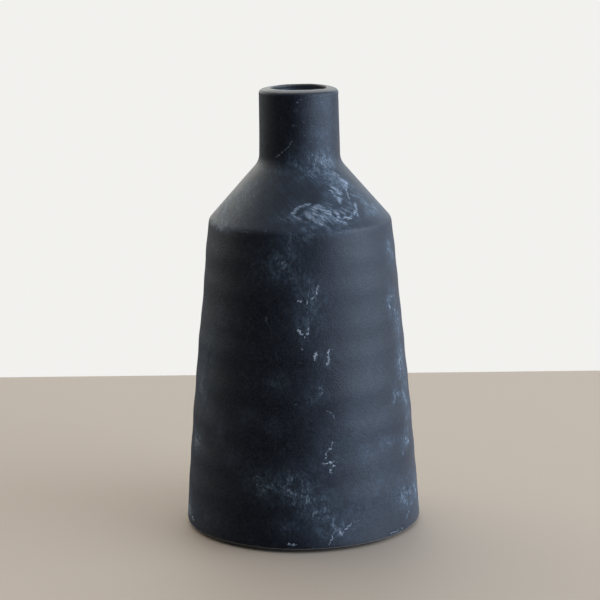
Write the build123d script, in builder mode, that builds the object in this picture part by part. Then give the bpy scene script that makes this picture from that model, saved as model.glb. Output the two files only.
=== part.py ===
from build123d import *
import math
import os

# Stoneware bottle vase, built up from thrown sections that are luted together
# with slip, lined with glaze and stood on thin felt pads.
# Millimetres, +Z up, origin at the centre of the base on the standing surface.

# Overall form
total_height = 250.0
foot_radius = 67.5
crease_radius = 51.3
crease_height = 176.4
neck_base_radius = 22.8
neck_base_height = 208.9
neck_top_radius = 22.3
mouth_radius = 15.7

# Clay thickness
wall_thickness = 6.0
floor_thickness = 7.5
inner_crease_height = 173.6
coil_size = 6.0
coil_dish = 1.3
glaze_thickness = 0.5
glaze_to_lip = 2.0

# Body wall: a slight outward bow, and the rings left by the thrower's fingers
wall_bow = 0.7
ring_pitch = 19.5
ring_depth = 0.2
ring_phase = 6.5
ring_count = 8

# Rounded edges
foot_rounding = 2.0
crease_rounding = 6.0
neck_fillet = 10.0
inner_rounding = 5.0
lip_outer_rounding = 2.2
lip_crown_rounding = 9.0
lip_inner_rounding = 0.9

# Lip
lip_fall = 1.3
lip_ridge_radius = 18.2

# Luted joints: a step in the clay, with slip in the gap behind the outer land
slip_thickness = 0.6
joint_step = 3.2
base_joint_rise = 4.5
base_land_width = 2.6
crease_joint_drop = 5.0
neck_joint_rise = 6.5

# Underside
pad_thickness = 1.2
pad_radius = 8.0
pad_circle_radius = 51.0
pad_count = 4
recess_radius = 40.0
recess_depth = 1.4

# Levels and radii that follow from the dimensions above
slab_bottom = pad_thickness
base_joint = slab_bottom + base_joint_rise
floor_level = slab_bottom + floor_thickness
crease_joint = crease_height - crease_joint_drop
neck_joint = neck_base_height + neck_joint_rise
liner_top = total_height - glaze_to_lip
shoulder_slope = (neck_base_height - crease_height) / (crease_radius - neck_base_radius)

# Circle of the bowed wall: its chord runs from the foot to the crease
chord_run = foot_radius - crease_radius
chord_rise = crease_height - slab_bottom
chord = math.hypot(chord_run, chord_rise)
bow_radius = chord**2 / (8 * wall_bow) + wall_bow / 2
bow_reach = bow_radius - wall_bow
bow_centre_radius = (foot_radius + crease_radius) / 2 - bow_reach * chord_rise / chord
bow_centre_height = (slab_bottom + crease_height) / 2 - bow_reach * chord_run / chord

os.makedirs("parts", exist_ok=True)


def wall_radius(height):
    """Outer radius of the body wall before the throwing rings."""
    return bow_centre_radius + math.sqrt(bow_radius**2 - (height - bow_centre_height) ** 2)


def ringed_radius(height):
    """Outer radius of the body wall with the throwing rings."""
    turn = 2 * math.pi * (height - ring_phase) / ring_pitch
    return wall_radius(height) + ring_depth * math.cos(turn)


def cavity_radius(height):
    """Inner radius of the body wall."""
    return wall_radius(height) - wall_thickness


def neck_radius(height):
    """Outer radius of the neck, which draws in a little towards the lip."""
    share = (height - neck_base_height) / (total_height - neck_base_height)
    return neck_base_radius + (neck_top_radius - neck_base_radius) * share


def mouth_bore(height):
    """Inner radius of the neck."""
    return mouth_radius


def cavity_arc(low, high):
    """Arc up the inner face of the body wall."""
    middle = (low + high) / 2
    ThreePointArc(
        (cavity_radius(low), low),
        (cavity_radius(middle), middle),
        (cavity_radius(high), high),
    )


def step_radius(height, outer_at, inner_at):
    """Radius of the step in a joint, at the middle of the clay."""
    return (outer_at(height) + inner_at(height)) / 2


def socket(height, outer_at, inner_at):
    """Top of the lower section at a joint, from the outside in."""
    step = step_radius(height, outer_at, inner_at)
    seat = height - joint_step
    return [(outer_at(height), height), (step, height), (step, seat), (inner_at(seat), seat)]


def spigot(height, outer_at, inner_at):
    """Bottom of the upper section at a joint, from the outside in."""
    step = step_radius(height, outer_at, inner_at) - slip_thickness
    tip = height - joint_step + slip_thickness
    return [(outer_at(height), height), (step, height), (step, tip), (inner_at(tip), tip)]


def slip_gap(height, outer_at, inner_at):
    """Gap for the slip between a socket and its spigot."""
    below = socket(height, outer_at, inner_at)[1:]
    above = spigot(height, outer_at, inner_at)[1:]
    return [*below, *reversed(above)]


def circles_at(part, height):
    """Round edges of a turned part at one height."""
    return part.edges().filter_by(GeomType.CIRCLE).filter_by_position(
        Axis.Z, height - 0.01, height + 0.01
    )


# The hollow inside the clay, which the liner glaze follows
floor_radius = cavity_radius(floor_level)
coil_top = floor_level + coil_size
inner_crease_radius = cavity_radius(inner_crease_height)
inner_neck_height = inner_crease_height + shoulder_slope * (inner_crease_radius - mouth_radius)
coil_foot = (floor_radius - coil_size, floor_level)
coil_head = (cavity_radius(coil_top), coil_top)

with BuildPart() as hollow:
    with BuildSketch(Plane.XZ):
        with BuildLine():
            Line((0, floor_level), coil_foot)
            SagittaArc(coil_foot, coil_head, -coil_dish)
            cavity_arc(coil_top, inner_crease_height)
            Polyline(
                (inner_crease_radius, inner_crease_height),
                (mouth_radius, inner_neck_height),
                (mouth_radius, liner_top),
                (0, liner_top),
                (0, floor_level),
            )
        make_face()
    revolve(axis=Axis.Z)
    fillet(circles_at(hollow, inner_crease_height), inner_rounding)
    fillet(circles_at(hollow, inner_neck_height), inner_rounding)

# Base slab: the floor, with a land for the wall, a boss inside it and a recess below
boss_radius = floor_radius - slip_thickness
foot_outer = ringed_radius(base_joint)
land_inner = foot_outer - base_land_width
groove_level = base_joint - slip_thickness

with BuildPart() as base_slab:
    with BuildSketch(Plane.XZ):
        with BuildLine():
            Polyline(
                (0, slab_bottom),
                (foot_radius, slab_bottom),
                (foot_outer, base_joint),
                (land_inner, base_joint),
                (land_inner, groove_level),
                (boss_radius, groove_level),
                (boss_radius, floor_level),
                (0, floor_level),
                close=True,
            )
        make_face()
    revolve(axis=Axis.Z)
    fillet(circles_at(base_slab, slab_bottom), foot_rounding)
    with BuildSketch(Plane.XY.offset(slab_bottom)):
        Circle(recess_radius)
    extrude(amount=recess_depth, taper=45, mode=Mode.SUBTRACT)
base_slab.part.label = "base_slab"
export_step(base_slab.part, "parts/base_slab.step")

# Slip between the slab and the wall
with BuildPart() as base_slip:
    with BuildSketch(Plane.XZ):
        with BuildLine():
            Polyline(
                (land_inner, groove_level),
                (land_inner, base_joint),
                (floor_radius, base_joint),
                (floor_radius, floor_level),
                (boss_radius, floor_level),
                (boss_radius, groove_level),
                close=True,
            )
        make_face()
    revolve(axis=Axis.Z)
base_slip.part.label = "base_slip"
export_step(base_slip.part, "parts/base_slip.step")

# Coil pressed into the corner between the floor and the wall
with BuildPart() as corner_coil:
    with BuildSketch(Plane.XZ):
        with BuildLine():
            SagittaArc(coil_foot, coil_head, -coil_dish)
            cavity_arc(floor_level, coil_top)
            Line((floor_radius, floor_level), coil_foot)
        make_face()
    revolve(axis=Axis.Z)
corner_coil.part.label = "corner_coil"
export_step(corner_coil.part, "parts/corner_coil.step")

# Body wall: the thrown cone, ringed outside, from the slab to just below the crease
crease_socket = socket(crease_joint, ringed_radius, cavity_radius)
ring_span = (crease_joint - base_joint) / (2 * ring_count)
ring_heights = [base_joint + ring_span * i for i in range(2 * ring_count + 1)]

with BuildPart() as body_wall:
    with BuildSketch(Plane.XZ):
        with BuildLine():
            Spline(*[(ringed_radius(height), height) for height in ring_heights])
            Polyline(*crease_socket)
            cavity_arc(floor_level, crease_joint - joint_step)
            Polyline(
                (floor_radius, floor_level),
                (floor_radius, base_joint),
                (foot_outer, base_joint),
            )
        make_face()
    revolve(axis=Axis.Z)
body_wall.part.label = "body_wall"
export_step(body_wall.part, "parts/body_wall.step")

# Slip between the body wall and the shoulder
with BuildPart() as shoulder_slip:
    with BuildSketch(Plane.XZ):
        with BuildLine():
            Polyline(*slip_gap(crease_joint, ringed_radius, cavity_radius), close=True)
        make_face()
    revolve(axis=Axis.Z)
    add(hollow.part, mode=Mode.SUBTRACT)
shoulder_slip.part.label = "shoulder_slip"
export_step(shoulder_slip.part, "parts/shoulder_slip.step")

# Shoulder: the crease, the cone above it and the collar that takes the neck
with BuildPart() as shoulder:
    with BuildSketch(Plane.XZ):
        with BuildLine():
            Polyline(
                *reversed(spigot(crease_joint, ringed_radius, cavity_radius)),
                (crease_radius, crease_height),
                (neck_base_radius, neck_base_height),
                *socket(neck_joint, neck_radius, mouth_bore),
                (mouth_radius, inner_crease_height),
                close=True,
            )
        make_face()
    revolve(axis=Axis.Z)
    fillet(circles_at(shoulder, crease_height), crease_rounding)
    fillet(circles_at(shoulder, neck_base_height), neck_fillet)
    add(hollow.part, mode=Mode.SUBTRACT)
shoulder.part.label = "shoulder"
export_step(shoulder.part, "parts/shoulder.step")

# Slip between the shoulder and the neck
with BuildPart() as neck_slip:
    with BuildSketch(Plane.XZ):
        with BuildLine():
            Polyline(*slip_gap(neck_joint, neck_radius, mouth_bore), close=True)
        make_face()
    revolve(axis=Axis.Z)
neck_slip.part.label = "neck_slip"
export_step(neck_slip.part, "parts/neck_slip.step")

# Neck: a plain tube with a broad lip that falls away to the outside
lip_edge = total_height - lip_fall

with BuildPart() as neck:
    with BuildSketch(Plane.XZ):
        with BuildLine():
            Polyline(
                *reversed(spigot(neck_joint, neck_radius, mouth_bore)),
                (neck_radius(lip_edge), lip_edge),
                (lip_ridge_radius, total_height),
                (mouth_radius, total_height),
                close=True,
            )
        make_face()
    revolve(axis=Axis.Z)
    fillet(circles_at(neck, lip_edge), lip_outer_rounding)
    fillet(circles_at(neck, total_height).sort_by(SortBy.RADIUS)[0], lip_inner_rounding)
    fillet(circles_at(neck, total_height).sort_by(SortBy.RADIUS)[-1], lip_crown_rounding)
neck.part.label = "neck"
export_step(neck.part, "parts/neck.step")

# Liner glaze: a thin skin over the whole hollow, open at the mouth
with BuildPart() as liner_glaze:
    add(hollow.part)
    offset(amount=-glaze_thickness, openings=liner_glaze.faces().sort_by(Axis.Z)[-1])
liner_glaze.part.label = "liner_glaze"
export_step(liner_glaze.part, "parts/liner_glaze.step")

# Felt pads under the foot
with BuildPart() as felt_pads:
    with BuildSketch():
        with PolarLocations(pad_circle_radius, pad_count, start_angle=45):
            Circle(pad_radius)
    extrude(amount=pad_thickness)
felt_pads.part.label = "felt_pads"
export_step(felt_pads.part, "parts/felt_pads.step")
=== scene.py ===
import math
import random

import bpy
import numpy as np
from mathutils import Matrix, Vector


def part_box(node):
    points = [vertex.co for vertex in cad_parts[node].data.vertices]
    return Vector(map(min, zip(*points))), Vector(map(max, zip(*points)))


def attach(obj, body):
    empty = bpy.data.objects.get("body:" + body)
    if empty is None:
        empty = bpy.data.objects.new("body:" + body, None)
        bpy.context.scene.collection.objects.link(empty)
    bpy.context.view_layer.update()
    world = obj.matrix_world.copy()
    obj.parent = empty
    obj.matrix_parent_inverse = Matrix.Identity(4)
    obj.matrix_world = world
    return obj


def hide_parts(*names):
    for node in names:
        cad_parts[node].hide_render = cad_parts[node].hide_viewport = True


# Stoneware bottle vase. The outlines below are in millimetres, and MM turns them
# into metres where a mesh or an object is made. Levels come from the CAD frame.

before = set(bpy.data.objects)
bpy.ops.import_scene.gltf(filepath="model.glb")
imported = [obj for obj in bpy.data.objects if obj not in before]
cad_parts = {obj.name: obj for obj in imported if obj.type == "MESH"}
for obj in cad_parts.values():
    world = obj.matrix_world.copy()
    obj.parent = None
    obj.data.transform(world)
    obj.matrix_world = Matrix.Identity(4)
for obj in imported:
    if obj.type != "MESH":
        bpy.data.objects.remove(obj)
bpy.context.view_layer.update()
MM = 0.001


def levels(node):
    """Lowest and highest level of a CAD node, in millimetres."""
    low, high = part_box(node)
    return low.z / MM, high.z / MM


# Levels of the joints
slab_bottom, floor_level = levels("base_slab")
base_joint, crease_joint = levels("body_wall")
neck_joint = levels("shoulder")[1]
liner_top = levels("liner_glaze")[1]
total_height = levels("neck")[1]
pad_top = levels("felt_pads")[1]

# Outer form
foot_radius = 67.5
crease_radius = 51.3
crease_height = 176.4
neck_base_radius = 22.8
neck_base_height = 208.9
neck_top_radius = 22.3
wall_bow = 0.7
foot_rounding = 2.0
crease_rounding = 6.0
neck_fillet = 10.0

# Lip
mouth_radius = 15.7
lip_fall = 1.3
lip_ridge_radius = 18.2
lip_outer_rounding = 2.2
lip_crown_rounding = 9.0
lip_inner_rounding = 0.9

# Inside
wall_thickness = 6.0
inner_crease_height = 173.6
inner_rounding = 5.0
coil_size = 6.0
glaze_thickness = 0.5

# Luted joints
slip_thickness = 0.6
joint_step = 3.2
base_land_width = 2.6

# Underside
recess_radius = 40.0
recess_depth = 1.4
pad_radius = 8.0
pad_circle_radius = 51.0
pad_count = 4

# The lip is turned apart from the straight neck, down to this far under its edge
lip_reach = 4.0

# Mesh density: pieces round the vase, and the longest step along each outline
SEGMENTS = 320
PAD_SEGMENTS = 72
OUTER_SPACING = 1.4
INNER_SPACING = 6.0
LINER_SPACING = 5.0
NECK_SPACING = 0.8
LIP_SPACING = 0.45
RIPPLE_SPACING = 0.5
PAD_SPACING = 1.6


# ---------------------------------------------------------------- outlines

chord_run = foot_radius - crease_radius
chord_rise = crease_height - slab_bottom
chord = math.hypot(chord_run, chord_rise)
bow_radius = chord**2 / (8 * wall_bow) + wall_bow / 2
bow_reach = bow_radius - wall_bow
bow_centre_radius = (foot_radius + crease_radius) / 2 - bow_reach * chord_rise / chord
bow_centre_height = (slab_bottom + crease_height) / 2 - bow_reach * chord_run / chord


def wall_radius(height):
    """Outer radius of the bowed body wall."""
    return bow_centre_radius + math.sqrt(bow_radius**2 - (height - bow_centre_height) ** 2)


def cavity_radius(height):
    """Inner radius of the body wall."""
    return wall_radius(height) - wall_thickness


def neck_radius(height):
    """Outer radius of the neck."""
    share = (height - neck_base_height) / (total_height - neck_base_height)
    return neck_base_radius + (neck_top_radius - neck_base_radius) * share


def rounded(corners, arc_step=7.0):
    """Outline through (radius, height, rounding) corners, with an arc at each rounded one."""
    points = [Vector(corners[0][:2])]
    for before, corner, after in zip(corners, corners[1:], corners[2:]):
        here = Vector(corner[:2])
        incoming = (here - Vector(before[:2])).normalized()
        outgoing = (Vector(after[:2]) - here).normalized()
        turn = incoming.angle(outgoing)
        if corner[2] == 0 or turn < 1e-4:
            points.append(here)
            continue
        side = (outgoing - incoming * math.cos(turn)) / math.sin(turn)
        start = here - incoming * corner[2] * math.tan(turn / 2)
        steps = max(2, round(math.degrees(turn) / arc_step))
        for i in range(steps + 1):
            swing = turn * i / steps
            across = side * corner[2] * (1 - math.cos(swing))
            points.append(start + incoming * corner[2] * math.sin(swing) + across)
    points.append(Vector(corners[-1][:2]))
    return [tuple(p) for p in points]


def spaced(points, spacing):
    """The same outline with no stretch longer than spacing."""
    result = [points[0]]
    for (r0, z0), (r1, z1) in zip(points, points[1:]):
        pieces = max(1, math.ceil(math.hypot(r1 - r0, z1 - z0) / spacing))
        for i in range(1, pieces + 1):
            share = i / pieces
            result.append((r0 + (r1 - r0) * share, z0 + (z1 - z0) * share))
    return result


def wall_line(low, high, offset=0.0, count=40):
    """Points up the bowed wall, moved inwards by offset."""
    heights = [low + (high - low) * i / count for i in range(count + 1)]
    return [(wall_radius(h) - offset, h) for h in heights]


def between(points, low, high):
    """Part of a rising outline between two heights, with points exactly at both."""
    radii = [p[0] for p in points]
    heights = [p[1] for p in points]
    inside = [p for p in points if low + 1e-6 < p[1] < high - 1e-6]
    first = (float(np.interp(low, heights, radii)), low)
    last = (float(np.interp(high, heights, radii)), high)
    return [first, *inside, last]


lip_edge = total_height - lip_fall
lip_start = lip_edge - lip_reach
foot_line = rounded(
    [
        (recess_radius, slab_bottom, 0),
        (foot_radius, slab_bottom, foot_rounding),
        (wall_radius(base_joint), base_joint, 0),
    ]
)
side_line = rounded(
    [
        *[(r, z, 0) for r, z in wall_line(base_joint, crease_joint, count=60)],
        (crease_radius, crease_height, crease_rounding),
        (neck_base_radius, neck_base_height, neck_fillet),
        (neck_radius(lip_start), lip_start, 0),
    ]
)
lip_line = rounded(
    [
        (neck_radius(lip_start), lip_start, 0),
        (neck_radius(lip_edge), lip_edge, lip_outer_rounding),
        (lip_ridge_radius, total_height, lip_crown_rounding),
        (mouth_radius, total_height, lip_inner_rounding),
        (mouth_radius, liner_top - 2, 0),
    ]
)


def outer_radius(height):
    """Outer radius of the vase at a height, before the relief."""
    return float(np.interp(height, [p[1] for p in side_line], [p[0] for p in side_line]))


# ---------------------------------------------------------------- relief

# Height and depth of each ring left by the thrower's fingers
THROWING_RINGS = [
    (27.5, 0.30),
    (44.5, 0.26),
    (66.3, 0.34),
    (87.5, 0.34),
    (108.0, 0.32),
    (122.3, 0.20),
    (143.0, 0.34),
    (160.0, 0.28),
]
RING_WIDTH = 6.0

# Small dents: angle from the front, height, half width, half height, depth
DENTS = [
    (86, 244.8, 1.8, 0.9, 0.50),
    (55.5, 3.0, 2.2, 2.0, 0.45),
    (48, 2.6, 3.0, 1.8, 0.35),
    (-31, 2.4, 2.4, 1.6, 0.30),
    (128, 3.2, 2.6, 2.0, 0.45),
    (-142, 2.8, 3.4, 1.8, 0.40),
    (-75, 176.4, 3.0, 1.2, 0.20),
    (152, 176.2, 3.6, 1.4, 0.22),
]

LUMP_SEED = 11
LUMP_COUNT = 14
LUMP_DEPTH = 0.055


def lumps():
    """Broad waves that make the hand-thrown wall a little uneven."""
    draw = random.Random(LUMP_SEED)
    return [
        (draw.randint(2, 7), draw.uniform(45, 150), draw.uniform(0, 6.28), draw.uniform(0, 6.28))
        for _ in range(LUMP_COUNT)
    ]


def relief(angles, heights):
    """How far the outer skin stands out from the plain outline, in millimetres."""
    out = np.zeros(np.broadcast(angles, heights).shape)
    for i, (level, depth) in enumerate(THROWING_RINGS):
        sway = 0.6 * np.cos(angles - 1.3 * i)
        swell = 1 + 0.25 * np.cos(2 * angles + 2.1 * i)
        out += depth * swell * np.exp(-(((heights - level - sway) / RING_WIDTH) ** 2))
    for turns, length, phase, start in lumps():
        out += LUMP_DEPTH * np.cos(turns * angles + phase) * np.cos(6.28 * heights / length + start)
    for angle, level, half_width, half_height, depth in DENTS:
        aside = (angles - math.radians(angle) + math.pi) % (2 * math.pi) - math.pi
        across = aside * outer_radius(level) / half_width
        out -= depth * np.exp(-(across**2) - ((heights - level) / half_height) ** 2)
    return out


def lip_wave(angles):
    """Rise and fall of the hand-finished lip, in millimetres."""
    return 0.10 * np.cos(2 * angles + 0.7) + 0.07 * np.cos(3 * angles - 1.1) + 0.04 * np.cos(7 * angles)


# ---------------------------------------------------------------- marks on the surface

# Haze of rubbed-in chalk: angle from the front, height, half width, half height, strength.
# In this and the lists below, angles beyond 90 degrees are on the back.
HAZE = [
    (5, 186, 10, 5, 0.85),
    (20, 185, 10, 5, 0.85),
    (36, 184, 9, 4, 0.75),
    (33, 195, 8, 6, 0.90),
    (45, 201, 8, 7, 0.70),
    (54, 190, 10, 8, 0.80),
    (66, 183, 9, 5, 1.00),
    (20, 205, 12, 6, 0.70),
    (40, 211, 9, 6, 0.65),
    (14, 214, 8, 4, 0.30),
    (-4, 208, 10, 5, 0.38),
    (-26, 207, 9, 4, 0.30),
    (36, 219, 9, 8, 0.48),
    (42, 229, 8, 8, 0.38),
    (22, 226, 7, 8, 0.30),
    (36, 243, 7, 5, 0.55),
    (4, 240, 6, 6, 0.15),
    (-8, 217, 7, 6, 0.16),
    (-22, 212, 7, 4, 0.16),
    (-12, 184, 8, 5, 0.42),
    (10, 177, 12, 5, 0.72),
    (32, 177, 11, 5, 0.50),
    (-2, 174, 9, 5, 0.30),
    (-55, 178, 14, 5, 0.35),
    (-16, 196, 12, 6, 0.25),
    (-62, 192, 12, 9, 0.90),
    (-45, 200, 10, 7, 0.50),
    (-72, 184, 9, 5, 1.00),
    (-60, 176, 14, 2.6, 1.50),
    (-40, 185, 14, 6, 0.25),
    (-10, 165, 9, 9, 0.65),
    (-9, 154, 7, 7, 0.60),
    (3, 150, 9, 9, 0.42),
    (6, 138, 10, 11, 0.58),
    (4, 123, 8, 8, 0.50),
    (-24, 156, 10, 8, 0.28),
    (-14, 96, 6, 5, 0.50),
    (-15, 70, 6, 5, 0.32),
    (4, 85, 8, 5, 0.32),
    (9, 90, 6, 6, 0.42),
    (13, 108, 7, 9, 0.40),
    (12, 55, 9, 11, 0.42),
    (-23, 40, 9, 7, 0.70),
    (-15, 34, 12, 7, 0.50),
    (-4, 40, 9, 8, 0.75),
    (3, 30, 11, 8, 0.80),
    (10, 20, 9, 8, 0.80),
    (-9, 15, 9, 5, 0.50),
    (18, 12, 11, 7, 0.75),
    (30, 22, 12, 8, 0.30),
    (70, 160, 8, 9, 1.10),
    (64, 134, 8, 8, 1.00),
    (71, 118, 7, 9, 1.10),
    (70, 97, 8, 9, 1.30),
    (60, 81, 6, 6, 0.80),
    (73, 79, 7, 8, 1.20),
    (72, 64, 7, 7, 0.90),
    (68, 52, 7, 5, 1.20),
    (48, 56, 8, 4, 0.70),
    (60, 22, 11, 10, 0.95),
    (75, 22, 9, 10, 1.15),
    (34, 52, 5, 4, 0.32),
    (42, 100, 12, 14, 0.22),
    (32, 66, 17, 16, 0.42),
    (40, 34, 18, 12, 0.36),
    (-70, 52, 9, 8, 1.20),
    (-72, 86, 8, 10, 0.80),
    (-60, 90, 12, 14, 0.25),
    (-62, 108, 10, 14, 0.50),
    (-48, 62, 7, 8, 0.40),
    (-38, 50, 6, 7, 0.30),
    (-62, 75, 8, 10, 0.50),
    (-30, 75, 6, 5, 0.25),
    (-52, 130, 14, 16, 0.28),
    (-80, 11, 9, 7, 1.90),
    (-55, 12, 14, 6, 0.35),
    (96, 120, 14, 20, 0.50),
    (112, 70, 10, 8, 0.45),
    (121, 56, 9, 9, 0.55),
    (140, 165, 12, 8, 0.40),
    (150, 157, 8, 8, 0.45),
    (160, 39, 11, 8, 0.45),
    (171, 28, 12, 7, 0.50),
    (-176, 112, 10, 9, 0.30),
    (-120, 140, 10, 12, 0.40),
    (-111, 128, 8, 8, 0.45),
    (-150, 74, 11, 8, 0.40),
    (-158, 62, 9, 9, 0.45),
    (-134, 22, 16, 6, 0.40),
    (-98, 30, 12, 12, 0.55),
    (-140, 190, 11, 5, 0.45),
    (-124, 197, 8, 6, 0.35),
    (100, 188, 14, 8, 0.55),
    (138, 186, 12, 5, 0.40),
    (175, 200, 12, 7, 0.45),
    (-170, 228, 8, 10, 0.35),
    (-110, 236, 8, 6, 0.35),
]

# Combed strands of the scuff on the shoulder: half width, then points at
# (angle from the front, height)
COMBED_STRANDS = [
    (1.0, [(-6, 186), (-3, 187.6), (1, 188.8), (6, 189.8), (8, 190.4)]),
    (1.5, [(9, 188), (12, 188.6), (15, 188.2), (18.5, 186.8), (21.5, 185.6)]),
    (1.2, [(20, 185.4), (22, 183.6), (25, 181.9)]),
    (1.1, [(25, 186.6), (28, 185), (27, 182.8)]),
    (0.8, [(26, 181.6), (29, 180.4), (31, 179.2)]),
    (0.8, [(-5, 185.4), (-2, 183.6), (1, 182.6), (5, 182.2)]),
    (1.2, [(3.5, 185.2), (8, 184.2), (9.5, 182.8), (11.5, 181.4), (14.5, 179.8)]),
    (0.7, [(9, 186.4), (13, 184.6), (17, 182.4)]),
    (1.0, [(31.5, 182.4), (35, 182.4), (38.5, 183.4)]),
    (1.0, [(41, 184.4), (44.5, 184.4), (46.5, 186.4), (47.5, 188.4)]),
    (0.7, [(44.5, 184), (43.5, 181.6)]),
    (0.9, [(33, 198.6), (36, 196), (39, 193.6)]),
    (0.7, [(28, 196.6), (32, 193), (35, 190.4)]),
    (1.2, [(42, 205.4), (47, 203), (49, 201.6)]),
    (1.4, [(49, 201), (52, 199.4), (52.5, 197)]),
    (1.1, [(50, 196), (46.5, 193.6), (45.5, 191)]),
    (0.6, [(138, 187), (145, 184.6)]),
]

# Rubbed strands that are broken into dabs, in the same form
RUBBED_STRANDS = [
    (1.3, [(57, 184), (62, 182), (67, 184)]),
    (1.6, [(68, 166), (71, 160), (74, 157)]),
    (1.5, [(62, 136), (67, 135)]),
    (1.4, [(61, 132), (61.4, 128)]),
    (1.5, [(66.5, 129), (71, 122)]),
    (1.4, [(70, 116), (71, 112.5)]),
    (1.6, [(71, 104), (71.4, 101)]),
    (1.5, [(68.5, 99.5), (68.5, 95.5)]),
    (1.6, [(72, 97), (73, 91)]),
    (1.5, [(66.6, 90), (67.4, 87)]),
    (1.7, [(73.6, 89.5), (74.4, 85.5)]),
    (1.1, [(57.6, 82), (58.6, 78.4), (56.6, 76.6)]),
    (1.4, [(68.6, 81), (70, 77), (73, 71.5)]),
    (1.5, [(67, 55.6), (66.6, 52)]),
    (1.6, [(69, 53.4), (71.4, 49)]),
    (0.9, [(48, 59), (49, 57.4)]),
    (0.9, [(46.4, 55.4), (47.6, 53.6)]),
    (1.1, [(61.6, 47.4), (62.4, 45)]),
    (1.3, [(79, 28), (74, 20), (66, 13), (60, 8)]),
    (1.3, [(-82, 15), (-79, 9), (-72, 6.5)]),
    (0.7, [(114, 66), (117, 60), (117.6, 55)]),
    (0.6, [(-113, 134), (-115, 129)]),
    (0.7, [(163, 36), (168, 31.6), (175, 29.6)]),
    (0.6, [(-153, 70), (-157, 66.6), (-158.6, 62)]),
    (0.7, [(-131, 23), (-138, 20)]),
]

# Small bright marks, in the same form
BRIGHT_MARKS = [
    (0.19, [(-37, 212.6), (-27, 215.6), (-20, 217.6), (-15, 219.4), (-12, 221.6), (-11, 223)]),
    (0.65, [(-2, 140.3), (-0.6, 139.4), (0.6, 140.1)]),
    (0.60, [(3.2, 139.8), (3.2, 137.8)]),
    (0.7, [(5, 140.8), (7.3, 141.3)]),
    (0.5, [(8.9, 143), (9.1, 145), (10, 148)]),
    (1.1, [(-1.4, 124.4), (-0.6, 122.6), (0.3, 121.4)]),
    (0.8, [(4.1, 125.4), (3.4, 123.8)]),
    (1.1, [(3.8, 122.4), (2.8, 121.4)]),
    (0.4, [(1.4, 119.9), (2, 119.6)]),
    (0.4, [(0.2, 116.8), (0.2, 116.0)]),
    (0.4, [(0.1, 114.3), (0.1, 113.4)]),
    (1.1, [(8.2, 111.4), (6.8, 109.2), (7.2, 107.4)]),
    (0.85, [(14.9, 112.4), (14.4, 109.6), (14.5, 106.4), (13.3, 103.6)]),
    (0.36, [(15.4, 62.2), (14.6, 59.2), (12.2, 56.4), (11, 52.4)]),
    (0.50, [(9.4, 50), (16.6, 50.5)]),
    (0.7, [(14.2, 48.4), (16, 48.2)]),
    (0.7, [(13.6, 47), (14.2, 44)]),
    (0.42, [(12.3, 4.6), (13.2, 7.6), (14, 10.2), (15.4, 12.2), (16.8, 12.2)]),
    (0.75, [(17, 12), (18.2, 8.8)]),
    (0.50, [(18.2, 8.8), (19.3, 11.2), (22.2, 13.8), (24.1, 15.2)]),
    (0.50, [(26.8, 15.9), (27.3, 15.7)]),
    (0.45, [(-8, 5.3), (-3.2, 5.2)]),
    (0.6, [(24.6, 182.2), (26, 181.8)]),
    (0.6, [(28, 185.2), (28.4, 184.4)]),
    (0.6, [(34.2, 182.6), (35.2, 182.2)]),
    (0.6, [(41.6, 184.2), (42.8, 184)]),
    (0.7, [(61.2, 130.4), (61.6, 129)]),
    (0.9, [(72.6, 73), (73.2, 72)]),
    (0.9, [(66.6, 53.4), (67, 52.6)]),
    (0.9, [(70.4, 51), (71, 50)]),
    (0.75, [(55.4, 4.1), (56.8, 4.3)]),
    (0.60, [(51.2, 4.1), (52.4, 4.1)]),
    (0.60, [(46.6, 3.8), (50.4, 4.0)]),
    (1.3, [(-87, 14), (-84, 9), (-79, 5.6)]),
    (0.9, [(-72, 7.6), (-69, 6.2)]),
    (1.2, [(86, 13), (83, 7)]),
]

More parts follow.
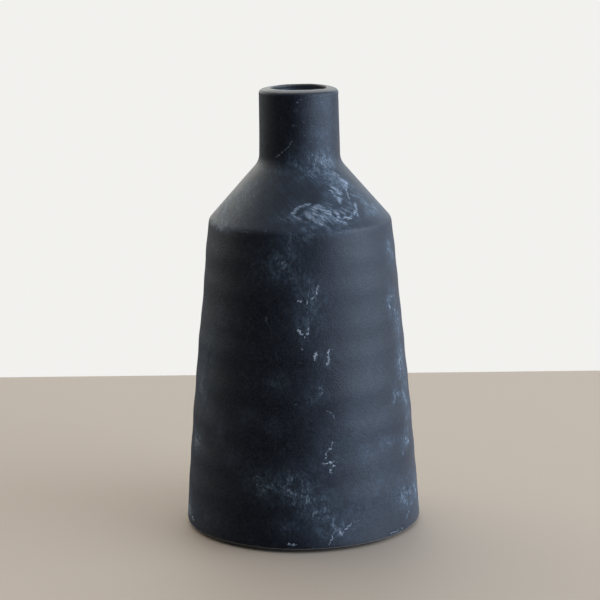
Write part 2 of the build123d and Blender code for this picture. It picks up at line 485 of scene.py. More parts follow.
# Small faint marks, in the same form
FAINT_MARKS = [
    (0.45, [(1, 245), (3, 246)]),
    (0.35, [(-3, 243.4), (-1, 244.2)]),
    (0.35, [(-7.4, 239.6), (-6.4, 240)]),
    (0.35, [(-4, 239.2), (-2.4, 239.6)]),
    (0.35, [(-8.6, 231.4), (-7.4, 231.2)]),
    (0.35, [(-6, 231.4), (-5.2, 231.2)]),
    (0.45, [(33.6, 247.4), (32, 245.6)]),
    (0.45, [(33.4, 243.8), (34, 243)]),
    (0.35, [(5, 225.6), (9, 226)]),
    (0.35, [(4, 234), (8, 233)]),
    (0.5, [(-14, 183.4), (-10, 182.6)]),
    (0.5, [(-26.3, 202.6), (-25.7, 202.4)]),
    (0.45, [(-41, 175.6), (-35, 175.8), (-33, 175.2)]),
    (0.40, [(22, 175.8), (28, 176.1), (34, 175.9)]),
    (0.5, [(-22.4, 176.9), (-21.7, 176.8)]),
    (0.5, [(-13.8, 159.8), (-13.2, 159.5)]),
    (0.5, [(-23.8, 151.6), (-23.2, 151.3)]),
    (0.5, [(8.3, 139.5), (9, 139.1)]),
    (0.4, [(3.4, 134), (3.3, 132.6)]),
    (0.4, [(3.2, 130), (3.3, 128.8)]),
    (0.45, [(16.8, 112.6), (17.2, 112.4)]),
    (0.6, [(8, 91.5), (9.5, 92.3), (11, 90.5), (10, 88.3), (8.3, 89)]),
    (0.5, [(-3.8, 83.2), (-3.2, 82.8)]),
    (0.5, [(13, 79), (15.5, 77.4), (17, 74)]),
    (0.4, [(-19.5, 132), (-19.5, 127)]),
    (0.5, [(34, 35.9), (34.6, 35.3)]),
    (0.28, [(15.4, 22.8), (14.9, 20), (14.2, 17)]),
    (0.6, [(-24, 42.8), (-21.4, 41.4)]),
    (0.5, [(-24.5, 38.5), (-22.5, 36.5), (-20.5, 37)]),
    (0.5, [(-8, 33), (-3, 31)]),
    (0.4, [(-11, 17), (-8.5, 13)]),
    (0.6, [(68, 53.5), (72, 51)]),
    (0.6, [(46, 57), (52, 54)]),
    (0.5, [(67, 24), (71, 16)]),
    (0.5, [(-71, 57.5), (-64, 53)]),
    (0.4, [(121, 52), (124, 50.4), (124.6, 47)]),
    (0.35, [(146, 163), (149, 158), (153, 155.4)]),
    (0.4, [(-122, 143), (-121, 138)]),
    (0.4, [(-147, 79), (-148, 76.4)]),
    (0.5, [(158, 42), (159, 40.6)]),
    (0.3, [(-172, 224), (-165, 228), (-162, 233)]),
    (0.4, [(-176, 114), (-179, 111)]),
    (0.5, [(104, 190), (108, 187.6)]),
]


def haze_at(angles, heights):
    """Share of chalk haze at each point of the skin."""
    out = np.zeros(np.broadcast(angles, heights).shape)
    for angle, level, half_width, half_height, strength in HAZE:
        aside = (angles - math.radians(angle) + math.pi) % (2 * math.pi) - math.pi
        across = aside * outer_radius(level) / half_width
        along = (heights - level) / half_height
        out += strength * np.exp(-(across**2) - along**2)
    return np.clip(out, 0, 2)


# ---------------------------------------------------------------- meshes


def shaded(mesh, sharp_angle=38):
    """Smooth shading with sharp edges where the outline turns."""
    mesh.shade_smooth()
    mesh.set_sharp_from_angle(angle=math.radians(sharp_angle))


def turned(name, loop, skin=(), segments=SEGMENTS):
    """Solid turned round the Z axis from a closed outline of (radius, height) points.

    Points in skin stand on the outside of the vase and take the relief.
    An outline that starts and ends on the axis is closed there by two poles.
    """
    skin = set(skin)
    on_axis = loop[0][0] == 0
    rows = loop[1:-1] if on_axis else loop
    angles = np.arange(segments) * 2 * math.pi / segments
    radii = np.array([p[0] for p in rows])[:, None]
    heights = np.array([p[1] for p in rows])[:, None] * np.ones_like(angles)
    worn = np.array([p in skin for p in rows], float)[:, None]
    radii = radii + relief(angles[None, :], heights) * worn
    lip = np.clip((heights - (lip_edge - 3)) / 3, 0, 1)
    heights = heights + lip * lip_wave(angles)
    haze = haze_at(angles[None, :], heights) * worn
    points = np.stack([radii * np.sin(angles), -radii * np.cos(angles), heights], axis=-1)
    points = points.reshape(-1, 3)
    values = haze.reshape(-1)
    count = len(rows)
    rings = count if not on_axis else count - 1
    faces = []
    for row in range(rings):
        this_row = row * segments
        next_row = (row + 1) % count * segments
        for i in range(segments):
            j = (i + 1) % segments
            faces.append((this_row + i, this_row + j, next_row + j, next_row + i))
    if on_axis:
        first_pole = len(points)
        poles = np.array([[0, 0, loop[0][1]], [0, 0, loop[-1][1]]])
        points = np.vstack([points, poles])
        values = np.concatenate([values, [0, 0]])
        last_row = (count - 1) * segments
        for i in range(segments):
            j = (i + 1) % segments
            faces.append((first_pole, j, i))
            faces.append((first_pole + 1, last_row + i, last_row + j))
    mesh = bpy.data.meshes.new(name)
    mesh.from_pydata((points * MM).tolist(), [], faces)
    attribute = mesh.attributes.new("haze", "FLOAT", "POINT")
    attribute.data.foreach_set("value", values.astype(np.float32))
    mesh.validate()
    shaded(mesh)
    piece = bpy.data.objects.new(name, mesh)
    bpy.context.scene.collection.objects.link(piece)
    return piece


def finished(piece, material, slot, *nodes):
    """Gives a piece its material and makes it stand for its CAD nodes."""
    piece.data.materials.clear()
    piece.data.materials.append(material)
    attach(piece, "root")
    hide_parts(*nodes)
    return piece


floor_radius = cavity_radius(floor_level)
boss_radius = floor_radius - slip_thickness
groove_level = base_joint - slip_thickness
shoulder_slope = (neck_base_height - crease_height) / (crease_radius - neck_base_radius)
inner_crease_radius = cavity_radius(inner_crease_height)
inner_neck_height = inner_crease_height + shoulder_slope * (inner_crease_radius - mouth_radius)


def hollow_line():
    """Outline of the hollow from the middle of the floor to the top of the liner."""
    coil_top = floor_level + coil_size
    return rounded(
        [
            (0, floor_level, 0),
            (floor_radius - 1, floor_level, coil_size),
            *[(r, z, 0) for r, z in wall_line(coil_top + 2, inner_crease_height - 6, wall_thickness)],
            (inner_crease_radius, inner_crease_height, inner_rounding),
            (mouth_radius, inner_neck_height, inner_rounding),
            (mouth_radius, liner_top, 0),
        ],
        arc_step=12,
    )


def make_base_slab():
    foot_outer = wall_radius(base_joint)
    under = [
        (0, slab_bottom + recess_depth),
        (recess_radius - recess_depth, slab_bottom + recess_depth),
        (recess_radius, slab_bottom),
    ]
    foot = spaced(foot_line, OUTER_SPACING)
    land_inner = foot_outer - base_land_width
    top = [
        (land_inner, base_joint),
        (land_inner, groove_level),
        (boss_radius, groove_level),
        (boss_radius, floor_level),
        (0, floor_level),
    ]
    loop = [*spaced(under, INNER_SPACING), *foot[1:], *top]
    return turned("base_slab_clay", loop, skin=foot)


def joint_fine(points, *edges, reach=1.5, spacing=0.4):
    """The outline with close rows beside a joint, so that the two pieces shade alike there."""
    heights = [p[1] for p in points]
    radii = [p[0] for p in points]
    extra = []
    for edge in edges:
        inwards = 1 if edge == heights[0] else -1
        extra += [edge + inwards * spacing * i for i in range(1, round(reach / spacing) + 1)]
    merged = sorted(set(heights) | set(h for h in extra if heights[0] < h < heights[-1]))
    return [(float(np.interp(h, heights, radii)), h) for h in merged]


def make_body_wall():
    outer = joint_fine(
        spaced(between(side_line, base_joint, crease_joint), OUTER_SPACING), base_joint, crease_joint
    )
    seat = crease_joint - joint_step
    step = (outer[-1][0] + cavity_radius(crease_joint)) / 2
    inner = [(step, crease_joint), (step, seat)]
    inner += reversed(wall_line(floor_level, seat, wall_thickness, count=26))
    inner += [(floor_radius, base_joint)]
    return turned("body_wall_clay", [*outer, *inner], skin=outer)


def make_shoulder():
    outer = joint_fine(
        spaced(between(side_line, crease_joint, neck_joint), NECK_SPACING), crease_joint, neck_joint
    )
    low_step = (outer[0][0] + cavity_radius(crease_joint)) / 2 - slip_thickness
    tip = crease_joint - joint_step + slip_thickness
    high_step = (outer[-1][0] + mouth_radius) / 2
    inside = between(spaced(hollow_line(), INNER_SPACING), tip, neck_joint - joint_step)
    loop = [
        *outer,
        (high_step, neck_joint),
        (high_step, neck_joint - joint_step),
        *reversed(inside),
        (low_step, tip),
        (low_step, crease_joint),
    ]
    return turned("shoulder_clay", loop, skin=outer)


def make_neck():
    straight = between(side_line, neck_joint, lip_start)
    outer = joint_fine(spaced(straight, NECK_SPACING), neck_joint)
    lip = spaced(lip_line, LIP_SPACING)
    step = (outer[0][0] + mouth_radius) / 2 - slip_thickness
    tip = neck_joint - joint_step + slip_thickness
    inside = spaced([lip[-1], (mouth_radius, tip)], INNER_SPACING)
    loop = [*outer, *lip[1:], *inside[1:], (step, tip), (step, neck_joint)]
    return turned("neck_clay", loop, skin=[*outer, *lip])


RIPPLE_START = inner_neck_height + 4


def liner_ripple(height):
    """Fine rings left inside the neck by the throwing, in millimetres."""
    return 0.07 * math.sin(height * 2.1) + 0.05 * math.sin(height * 3.7 + 1.0)


def make_liner():
    outside = spaced(hollow_line(), LINER_SPACING)
    below_neck = [p for p in outside if p[1] < RIPPLE_START]
    outer = [*below_neck, *spaced([below_neck[-1], (mouth_radius, liner_top)], RIPPLE_SPACING)[1:]]
    inner = []
    for (r0, z0), (r1, z1), (r2, z2) in zip(outer, outer[1:], outer[2:]):
        along = Vector((r2 - r0, z2 - z0)).normalized()
        ripple = liner_ripple(z1) if z1 > RIPPLE_START else 0
        depth = glaze_thickness + ripple
        inner.append((r1 - along.y * depth, z1 + along.x * depth))
    bore = mouth_radius - glaze_thickness
    rim = [(bore + 0.12, liner_top - 0.16), (mouth_radius - 0.12, liner_top)]
    loop = [*outer[:-1], (mouth_radius, liner_top - 0.1), rim[1], rim[0]]
    loop += [*reversed(inner), (0, floor_level + glaze_thickness)]
    return turned("liner_glaze_coat", loop)


PAD_SEED = 5
PAD_FRAY = 0.006
FIRST_PAD_ANGLE = 45


def make_felt_pads():
    """Four die-cut felt discs with softened edges and a slightly uneven nap."""
    draw = random.Random(PAD_SEED)
    pads = []
    for i in range(pad_count):
        outline = rounded(
            [
                (0, 0, 0),
                (pad_radius, 0, 0.3),
                (pad_radius, pad_top, 0.35),
                (0, pad_top, 0),
            ],
            arc_step=20,
        )
        pad = turned(f"felt_pad_{i + 1}", spaced(outline, PAD_SPACING), segments=PAD_SEGMENTS)
        for vertex in pad.data.vertices:
            if 0.1 * MM < vertex.co.z < (pad_top - 0.1) * MM:
                fray = 1 + draw.uniform(-PAD_FRAY, PAD_FRAY)
                vertex.co.x *= fray
                vertex.co.y *= fray
        turn = math.radians(FIRST_PAD_ANGLE + 360 / pad_count * i)
        offset = Vector((math.cos(turn), math.sin(turn), 0)) * pad_circle_radius * MM
        pad.data.transform(Matrix.Translation(offset))
        pads.append(pad)
    return pads


# ---------------------------------------------------------------- material graph


class Graph:
    """Short calls for the nodes of one material."""

    def __init__(self, name):
        self.material = bpy.data.materials.new(name)
        self.material.use_nodes = True
        self.tree = self.material.node_tree
        self.tree.nodes.clear()
        self.shader = self.node("ShaderNodeBsdfPrincipled")
        output = self.node("ShaderNodeOutputMaterial")
        self.link(self.shader.outputs["BSDF"], output.inputs["Surface"])

    def node(self, kind, **settings):
        made = self.tree.nodes.new(kind)
        for key, value in settings.items():
            setattr(made, key, value)
        return made

    def link(self, source, target):
        self.tree.links.new(source, target)

    def put(self, socket, value):
        """Links a socket, or sets a plain value."""
        if isinstance(value, bpy.types.NodeSocket):
            self.link(value, socket)
        else:
            socket.default_value = value

    def math(self, operation, *values, clamp=False):
        made = self.node("ShaderNodeMath", operation=operation, use_clamp=clamp)
        for socket, value in zip(made.inputs, values):
            self.put(socket, value)
        return made.outputs[0]

    def vector(self, operation, *values, scale=None):
        made = self.node("ShaderNodeVectorMath", operation=operation)
        for socket, value in zip(made.inputs, values):
            self.put(socket, value)
        if scale is not None:
            self.put(made.inputs["Scale"], scale)
        return made.outputs["Value" if operation == "LENGTH" else "Vector"]

    def combine(self, x, y, z):
        made = self.node("ShaderNodeCombineXYZ")
        for socket, value in zip(made.inputs, (x, y, z)):
            self.put(socket, value)
        return made.outputs[0]

    def noise(self, at, scale, detail=3.0, roughness=0.5, distortion=0.0, kind="FBM", signed=False):
        made = self.node("ShaderNodeTexNoise", noise_type=kind, normalize=not signed)
        self.put(made.inputs["Vector"], at)
        made.inputs["Scale"].default_value = scale
        made.inputs["Detail"].default_value = detail
        made.inputs["Roughness"].default_value = roughness
        made.inputs["Distortion"].default_value = distortion
        return made

    def span(self, value, low, high, to_low=0.0, to_high=1.0, smooth=True):
        kind = "SMOOTHSTEP" if smooth else "LINEAR"
        made = self.node("ShaderNodeMapRange", interpolation_type=kind)
        for name, number in zip(
            ("Value", "From Min", "From Max", "To Min", "To Max"), (value, low, high, to_low, to_high)
        ):
            self.put(made.inputs[name], number)
        return made.outputs[0]

    def mix(self, share, a, b):
        made = self.node("ShaderNodeMix", data_type="RGBA")
        self.put(made.inputs["Factor"], share)
        self.put(made.inputs["A"], a)
        self.put(made.inputs["B"], b)
        return made.outputs["Result"]

    def bump(self, height, distance, strength=1.0, normal=None):
        made = self.node("ShaderNodeBump")
        made.inputs["Strength"].default_value = strength
        made.inputs["Distance"].default_value = distance
        self.put(made.inputs["Height"], height)
        if normal is not None:
            self.link(normal, made.inputs["Normal"])
        return made.outputs[0]

    def place(self):
        """Position on the object in millimetres."""
        coordinates = self.node("ShaderNodeTexCoord")
        return self.vector("SCALE", coordinates.outputs["Object"], scale=1 / MM)


def colour(red, green, blue):
    return (red, green, blue, 1.0)


def unrolled(graph, place):
    """Position with the round of the vase laid flat: along the girth, up, 0."""
    parts = graph.node("ShaderNodeSeparateXYZ")
    graph.link(place, parts.inputs[0])
    x, y, z = parts.outputs
    angle = graph.math("ARCTAN2", x, graph.math("MULTIPLY", y, -1.0))
    radius = graph.vector("LENGTH", graph.combine(x, y, 0.0))
    return graph.combine(graph.math("MULTIPLY", angle, radius), z, 0.0)


def mark_field(graph, flat, marks):
    """1 along the marks, falling to 0 at their edges."""
    nearest = 9.0
    for half_width, points in marks:
        for (a0, z0), (a1, z1) in zip(points, points[1:]):
            start = Vector((math.radians(a0) * outer_radius(z0), z0))
            end = Vector((math.radians(a1) * outer_radius(z1), z1))
            run = end - start
            middle = (start + end) / 2
            level = graph.node("ShaderNodeVectorRotate", rotation_type="Z_AXIS")
            graph.link(flat, level.inputs["Vector"])
            level.inputs["Center"].default_value = (*middle, 0)
            level.inputs["Angle"].default_value = -math.atan2(run.y, run.x)
            squeeze = Vector((1 / (run.length * 0.62 + half_width * 0.6), 1 / half_width, 0))
            shift = -squeeze * Vector((*middle, 0))
            local = graph.vector("MULTIPLY_ADD", level.outputs[0], tuple(squeeze), tuple(shift))
            nearest = graph.math("MINIMUM", nearest, graph.vector("LENGTH", local))
    return nearest


# Radius on which strokes are laid out, and how far they sway, in radians
FIBRE_RADIUS = 50.0
FIBRE_SWAY = 0.10


def fibres(graph, place, twist, fineness, stretch):
    """Noise drawn out into short strokes that lean by twist, in radians for each millimetre up."""
    flat_girth = graph.vector("MULTIPLY", place, (1.0, 1.0, 0.0))
    girth = graph.vector("SCALE", graph.vector("NORMALIZE", flat_girth), scale=FIBRE_RADIUS)
    parts = graph.node("ShaderNodeSeparateXYZ")
    graph.link(place, parts.inputs[0])
    sway = graph.noise(place, 0.05, detail=2, signed=True).outputs[0]
    lean = graph.math("MULTIPLY_ADD", parts.outputs[2], twist, graph.math("MULTIPLY", sway, FIBRE_SWAY))
    turn = graph.node("ShaderNodeVectorRotate", rotation_type="Z_AXIS")
    graph.link(girth, turn.inputs["Vector"])
    graph.link(lean, turn.inputs["Angle"])
    at = graph.vector("MULTIPLY_ADD", place, (0.0, 0.0, stretch), turn.outputs[0])
    return graph.noise(at, fineness, detail=3, roughness=0.6).outputs[0]


def chalk_amount(graph, place):
    """How much pale chalk lies on the clay: strands, small marks, and the haze around them."""
    flat = unrolled(graph, place)
    drift = graph.noise(place, 0.20, detail=2, signed=True).outputs["Color"]
    drifted = graph.vector("MULTIPLY_ADD", drift, (1.4, 1.4, 0.0), flat)
    jitter = graph.noise(place, 0.60, detail=4, roughness=0.75, signed=True).outputs["Color"]
    jittered = graph.vector("MULTIPLY_ADD", jitter, (0.75, 0.75, 0.0), flat)

    combed = fibres(graph, place, 0.034, 1.35, 0.09)
    drawn = fibres(graph, place, 0.055, 1.75, 0.08)
    brushed = fibres(graph, place, 0.015, 0.95, 0.16)
    upright = fibres(graph, place, -0.003, 0.85, 0.30)
    dabs = graph.noise(graph.vector("MULTIPLY", place, (1, 1, 0.7)), 0.70, 3, 0.65).outputs[0]
    crumbs = graph.noise(place, 1.5, detail=3, roughness=0.75).outputs[0]
    clouds = graph.noise(place, 0.08, detail=2).outputs[0]
    leaning = graph.span(clouds, 0.38, 0.62)
    strokes = graph.math(
        "ADD",
        graph.math("MULTIPLY", brushed, leaning),
        graph.math("MULTIPLY", upright, graph.math("SUBTRACT", 1.0, leaning)),
    )
    parts = graph.node("ShaderNodeSeparateXYZ")
    graph.link(place, parts.inputs[0])
    near_neck = graph.span(parts.outputs[2], neck_base_height - 7, neck_base_height + 5)
    on_shoulder = graph.math(
        "MULTIPLY",
        graph.span(parts.outputs[2], crease_height - 3, crease_height + 2),
        graph.math("MULTIPLY_ADD", near_neck, -0.6, 1.0),
    )
    strokes = graph.math(
        "ADD",
        graph.math("MULTIPLY", graph.math("SUBTRACT", 1.0, on_shoulder), strokes),
        graph.math("MULTIPLY", on_shoulder, combed),
    )

    strand = graph.span(mark_field(graph, drifted, COMBED_STRANDS), 1.25, 0.30)
    strand = graph.math("MULTIPLY", strand, graph.span(drawn, 0.40, 0.58, 0.12, 0.85))
    rubbed_strands_and_painted_lip_reflection = graph.span(mark_field(graph, drifted, RUBBED_STRANDS), 1.25, 0.20)
    rubbed_strands_and_painted_lip_reflection = graph.math("MULTIPLY", rubbed_strands_and_painted_lip_reflection, graph.span(dabs, 0.40, 0.62, 0.04, 0.46))
    strand = graph.math("MAXIMUM", strand, rubbed_strands_and_painted_lip_reflection)
    bright = graph.span(mark_field(graph, jittered, BRIGHT_MARKS), 1.0, 0.40)
    bright = graph.math("MULTIPLY", bright, graph.span(crumbs, 0.42, 0.52, 0.12, 1.0))
    faint = graph.span(mark_field(graph, jittered, FAINT_MARKS), 1.0, 0.40)
    faint = graph.math("MULTIPLY", faint, graph.span(crumbs, 0.42, 0.60, 0.10, 0.42))

    veil = graph.node("ShaderNodeAttribute", attribute_name="haze").outputs["Fac"]
    wisps = graph.noise(place, 0.17, detail=3, roughness=0.6).outputs[0]
    veil = graph.math("MULTIPLY", veil, graph.span(wisps, 0.34, 0.64, 0.30, 1.0))
    dab_share = graph.math("MULTIPLY_ADD", on_shoulder, -0.3, 0.5)
    grit = graph.math(
        "ADD",
        graph.math("MULTIPLY", dabs, dab_share),
        graph.math("MULTIPLY", strokes, graph.math("SUBTRACT", 1.0, dab_share)),
    )
    haze = graph.math("MULTIPLY", veil, graph.span(grit, 0.41, 0.61, 0.09, 0.48))
    dust = graph.math("MULTIPLY", graph.span(grit, 0.48, 0.66), graph.span(wisps, 0.36, 0.66, 0.0, 0.08))
    upright_grain = graph.vector("MULTIPLY", place, (1.0, 1.0, 0.38))
    flecks = graph.noise(upright_grain, 1.4, detail=2, roughness=0.6).outputs[0]
    flecks = graph.math(
        "MULTIPLY",
        graph.span(flecks, 0.53, 0.70, 0.0, 0.46),
        graph.span(veil, 0.04, 0.90),
    )
    loose = graph.math("MAXIMUM", graph.math("MAXIMUM", haze, dust), flecks)
    marks = graph.math("MAXIMUM", bright, faint)
    return graph.math("MAXIMUM", graph.math("MAXIMUM", strand, marks), loose, clamp=True)


def make_clay_material():
    """Matte blue-black stoneware with chalk worked in, a pale line round the foot, a painted reflection
    on the top of the lip and painted shade under the foot.
    """
    graph = Graph("matte_black_stoneware")
    place = graph.place()
    broad = graph.noise(place, 0.035, detail=4, roughness=0.6).outputs[0]
    fine = graph.noise(place, 0.75, detail=4, roughness=0.7).outputs[0]
    body = graph.mix(
        graph.span(broad, 0.32, 0.68), colour(0.0050, 0.0062, 0.0100), colour(0.0085, 0.0115, 0.0195)
    )
    mottle = graph.noise(place, 0.24, detail=3, roughness=0.6).outputs[0]
    body = graph.mix(graph.span(mottle, 0.35, 0.65, 0, 0.35), body, colour(0.0105, 0.0135, 0.0205))
    body = graph.mix(graph.span(fine, 0.38, 0.70, 0, 0.5), body, colour(0.022, 0.029, 0.045))
    chalk = chalk_amount(graph, place)
    thin = graph.mix(graph.span(chalk, 0.0, 0.40, smooth=False), body, colour(0.068, 0.106, 0.142))
    painted = graph.mix(graph.span(chalk, 0.22, 1.0, smooth=False), thin, colour(0.44, 0.48, 0.53))

    # Painted reflection: the top of the lip is painted a pale warm grey, standing in for the bright
    # surroundings it faces
    parts = graph.node("ShaderNodeSeparateXYZ")
    graph.link(place, parts.inputs[0])
    rubbed_strands_and_painted_lip_reflection = graph.math(
        "MULTIPLY",
        graph.span(parts.outputs[2], total_height - 1.9, total_height - 0.5),
        graph.span(fine, 0.35, 0.65, 0.45, 0.9),
    )
    painted = graph.mix(rubbed_strands_and_painted_lip_reflection, painted, colour(0.15, 0.145, 0.125))

    # A thin pale brown line runs round the foot. Below it the lowest millimetre or so of the foot is
    # painted near black: painted shade for the shadow under the foot
    ragged = graph.noise(place, 0.30, detail=3).outputs[0]
    level = graph.math("MULTIPLY_ADD", ragged, 0.8, parts.outputs[2])
    pale_foot_line = graph.math(
        "MULTIPLY",
        graph.span(level, slab_bottom + 2.1, slab_bottom + 1.9),
        graph.span(level, slab_bottom + 1.3, slab_bottom + 1.5),
    )
    footed = graph.mix(pale_foot_line, painted, colour(0.14, 0.128, 0.108))
    # Painted shade: near black on the lowest part of the foot, for the shadow beneath it
    under = graph.span(level, slab_bottom + 1.5, slab_bottom + 1.3)
    footed = graph.mix(under, footed, colour(0.004, 0.004, 0.004))

    # The underside is bare clay, wiped clean before the firing
    out_from_axis = graph.vector("LENGTH", graph.vector("MULTIPLY", place, (1.0, 1.0, 0.0)))
    beneath = graph.math(
        "MULTIPLY",
        graph.span(out_from_axis, foot_radius - 1.6, foot_radius - 2.6),
        graph.span(parts.outputs[2], slab_bottom + recess_depth + 0.4, slab_bottom + recess_depth + 0.2),
    )
    raw = graph.mix(
        graph.span(fine, 0.34, 0.66), colour(0.020, 0.018, 0.016), colour(0.060, 0.053, 0.045)
    )
    footed = graph.mix(beneath, footed, raw)
    graph.link(footed, graph.shader.inputs["Base Color"])

    matte = graph.span(broad, 0.3, 0.7, 0.43, 0.50)
    matte = graph.math("ADD", matte, graph.span(fine, 0.3, 0.7, -0.05, 0.07))
    matte = graph.math("MULTIPLY_ADD", chalk, 0.3, matte, clamp=True)
    graph.link(matte, graph.shader.inputs["Roughness"])
    graph.shader.inputs["Specular IOR Level"].default_value = 0.5

    # Tooth of the clay, and the faint lines left by turning
    grain = graph.noise(place, 1.3, detail=4, roughness=0.65).outputs[0]
    stretched = graph.vector("MULTIPLY", place, (0.03, 0.03, 1.1))
    turning = graph.noise(stretched, 1.0, detail=3, roughness=0.6).outputs[0]
    height = graph.math("MULTIPLY_ADD", turning, 0.3, grain)
    height = graph.math("MULTIPLY_ADD", mottle, 0.7, height)
    height = graph.math("MULTIPLY_ADD", chalk, 0.6, height)
    graph.link(graph.bump(height, 0.18 * MM), graph.shader.inputs["Normal"])
    return graph.material


def make_glaze_material():
    """Dark liner glaze with a soft gloss."""
    graph = Graph("dark_liner_glaze")
    place = graph.place()
    pooled = graph.noise(place, 0.08, detail=3).outputs[0]
    specks = graph.noise(place, 1.4, detail=2).outputs[0]
    body = graph.mix(
        graph.span(pooled, 0.35, 0.65), colour(0.030, 0.036, 0.050), colour(0.055, 0.066, 0.090)
    )
    body = graph.mix(graph.span(specks, 0.62, 0.72, 0, 0.5), body, colour(0.05, 0.055, 0.065))
    graph.link(body, graph.shader.inputs["Base Color"])
    graph.link(graph.span(pooled, 0.3, 0.7, 0.28, 0.40), graph.shader.inputs["Roughness"])
    graph.link(graph.bump(pooled, 0.25 * MM, 0.6), graph.shader.inputs["Normal"])
    return graph.material


def make_slip_material():
    """Dried joining slip, hidden in the joints."""
    graph = Graph("joining_slip")
    place = graph.place()
    crust = graph.noise(place, 0.7, detail=4, roughness=0.65).outputs[0]
    body = graph.mix(
        graph.span(crust, 0.35, 0.65), colour(0.075, 0.060, 0.048), colour(0.115, 0.095, 0.078)
    )
    graph.link(body, graph.shader.inputs["Base Color"])
    graph.link(graph.span(crust, 0.3, 0.7, 0.75, 0.92), graph.shader.inputs["Roughness"])
    graph.link(graph.bump(crust, 0.2 * MM, 0.7), graph.shader.inputs["Normal"])
    return graph.material


def make_felt_material():
    """Black felt with short fibres."""
    graph = Graph("black_felt")
    place = graph.place()
    fibres = graph.noise(place, 2.4, detail=4, roughness=0.7, distortion=2.5).outputs[0]
    body = graph.mix(
        graph.span(fibres, 0.35, 0.68), colour(0.010, 0.009, 0.008), colour(0.040, 0.037, 0.034)
    )
    graph.link(body, graph.shader.inputs["Base Color"])
    graph.link(graph.span(fibres, 0.3, 0.7, 0.88, 1.0), graph.shader.inputs["Roughness"])
    graph.shader.inputs["Sheen Weight"].default_value = 0.3
    graph.link(graph.bump(fibres, 0.3 * MM, 0.8), graph.shader.inputs["Normal"])
    return graph.material


# ---------------------------------------------------------------- stage

# Metres and degrees
FLOOR_BACK = 0.341
FLOOR_SIDE = 1.2
FLOOR_FRONT = 1.7
CAMERA_PLACE = (-0.0006, -1.148, 0.372)
CAMERA_TILT_DOWN = 11.97
CAMERA_ROLL = -0.647
CAMERA_LENS_MM = 123.54
WINDOW_SIZE = (2.3, 1.15)
WINDOW_TINT = (0.64, 0.79, 1.0)
GLOW_DIRECTION = (0.90, -0.42, 0.12)
BACKGROUND = colour(0.885, 0.880, 0.860)


def make_floor():
    """Plain pale table top that ends behind the vase."""
    graph = Graph("pale_floor")
    place = graph.place()
    cloud = graph.noise(place, 0.004, detail=3).outputs[0]
    graph.link(
        graph.mix(cloud, colour(0.57, 0.440, 0.320), colour(0.60, 0.470, 0.345)),
        graph.shader.inputs["Base Color"],
    )
    graph.shader.inputs["Roughness"].default_value = 0.7
    mesh = bpy.data.meshes.new("floor")
    corners = [
        (-FLOOR_SIDE, -FLOOR_FRONT, 0),
        (FLOOR_SIDE, -FLOOR_FRONT, 0),
        (FLOOR_SIDE, FLOOR_BACK, 0),
        (-FLOOR_SIDE, FLOOR_BACK, 0),
    ]
    mesh.from_pydata(corners, [], [(0, 1, 2, 3)])
    mesh.materials.append(graph.material)
    floor = bpy.data.objects.new("floor", mesh)
    bpy.context.scene.collection.objects.link(floor)
    floor.visible_glossy = False


def make_area_light(name, azimuth, elevation, distance, size, energy, tint):
    """Soft light, azimuth from the front towards the right, aimed at the middle of the vase."""
    data = bpy.data.lights.new(name, "AREA")
    data.shape = "RECTANGLE"
    data.size, data.size_y = size
    data.energy = energy
    data.color = tint
    light = bpy.data.objects.new(name, data)
    bpy.context.scene.collection.objects.link(light)
    a = math.radians(azimuth)
    e = math.radians(elevation)
    direction = Vector((math.sin(a) * math.cos(e), -math.cos(a) * math.cos(e), math.sin(e)))
    aim = Vector((0, 0, total_height * MM / 2))
    light.location = aim + direction * distance
    light.rotation_euler = direction.to_track_quat("Z", "Y").to_euler()
    light.visible_camera = False


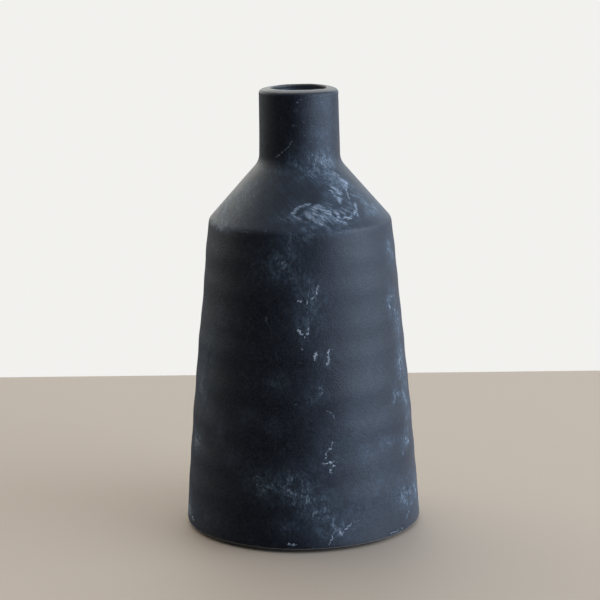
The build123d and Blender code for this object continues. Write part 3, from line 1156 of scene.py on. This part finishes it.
def make_world():
    """Pale backdrop: bright behind the vase, dim in front of it and below."""
    world = bpy.data.worlds.new("studio")
    bpy.context.scene.world = world
    world.use_nodes = True
    tree = world.node_tree
    tree.nodes.clear()

    def node(kind, **settings):
        made = tree.nodes.new(kind)
        for key, value in settings.items():
            setattr(made, key, value)
        return made

    def span(source, low, high):
        made = node("ShaderNodeMapRange", interpolation_type="SMOOTHSTEP")
        tree.links.new(source, made.inputs["Value"])
        made.inputs["From Min"].default_value = low
        made.inputs["From Max"].default_value = high
        return made.outputs[0]

    def mix(share, a, b):
        made = node("ShaderNodeMix", data_type="RGBA")
        tree.links.new(share, made.inputs["Factor"])
        for socket, value in ((made.inputs["A"], a), (made.inputs["B"], b)):
            if isinstance(value, bpy.types.NodeSocket):
                tree.links.new(value, socket)
            else:
                socket.default_value = value
        return made.outputs["Result"]

    direction = node("ShaderNodeSeparateXYZ")
    coordinates = node("ShaderNodeTexCoord")
    tree.links.new(coordinates.outputs["Generated"], direction.inputs[0])
    behind = span(direction.outputs["Y"], -0.30, 1.00)
    rightwards = span(direction.outputs["X"], -0.20, 0.60)
    above = span(direction.outputs["Z"], -0.02, 0.10)
    overhead = span(direction.outputs["Z"], 0.50, 0.92)
    backdrop = mix(rightwards, colour(2.5, 2.5, 2.38), colour(1.42, 1.62, 1.88))
    upper = mix(behind, colour(0.036, 0.039, 0.048), backdrop)
    upper = mix(overhead, upper, colour(0.50, 0.56, 0.66))
    table = mix(rightwards, colour(0.12, 0.14, 0.17), colour(0.75, 0.80, 0.92))
    lower = mix(behind, colour(0.03, 0.028, 0.026), table)
    lit = mix(above, lower, upper)

    # Soft glow from the window side, in front of the window itself
    towards = node("ShaderNodeVectorMath", operation="DOT_PRODUCT")
    tree.links.new(coordinates.outputs["Generated"], towards.inputs[0])
    towards.inputs[1].default_value = GLOW_DIRECTION
    lit = mix(span(towards.outputs["Value"], 0.62, 1.0), lit, colour(1.05, 1.25, 1.65))
    seen = node("ShaderNodeLightPath").outputs["Is Camera Ray"]
    background = node("ShaderNodeBackground")
    tree.links.new(mix(seen, lit, BACKGROUND), background.inputs["Color"])
    output = node("ShaderNodeOutputWorld")
    tree.links.new(background.outputs[0], output.inputs["Surface"])


def make_camera():
    data = bpy.data.cameras.new("camera")
    data.sensor_width = 36.0
    data.lens = CAMERA_LENS_MM
    camera = bpy.data.objects.new("camera", data)
    bpy.context.scene.collection.objects.link(camera)
    pitch = Matrix.Rotation(math.radians(90 - CAMERA_TILT_DOWN), 4, "X")
    roll = Matrix.Rotation(math.radians(CAMERA_ROLL), 4, "Z")
    camera.matrix_world = Matrix.Translation(CAMERA_PLACE) @ pitch @ roll
    bpy.context.scene.camera = camera


# ---------------------------------------------------------------- build

clay = make_clay_material()
glaze = make_glaze_material()
slip = make_slip_material()
felt = make_felt_material()

finished(make_base_slab(), clay, "matte_clay", "base_slab")
finished(make_body_wall(), clay, "matte_clay", "body_wall")
finished(make_shoulder(), clay, "matte_clay", "shoulder")
finished(make_neck(), clay, "matte_clay", "neck")
finished(make_liner(), glaze, "glaze", "liner_glaze")
for pad in make_felt_pads():
    finished(pad, felt, "felt", "felt_pads")

# The slips and the coil keep their CAD shapes
for name in ("base_slip", "shoulder_slip", "neck_slip", "corner_coil"):
    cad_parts[name].data.materials.clear()
    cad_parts[name].data.materials.append(slip)

make_floor()
make_world()
make_area_light(
    "window",
    azimuth=76,
    elevation=13,
    distance=2.2,
    size=WINDOW_SIZE,
    energy=39,
    tint=WINDOW_TINT,
)
make_camera()
bpy.context.scene.view_settings.view_transform = "Standard"
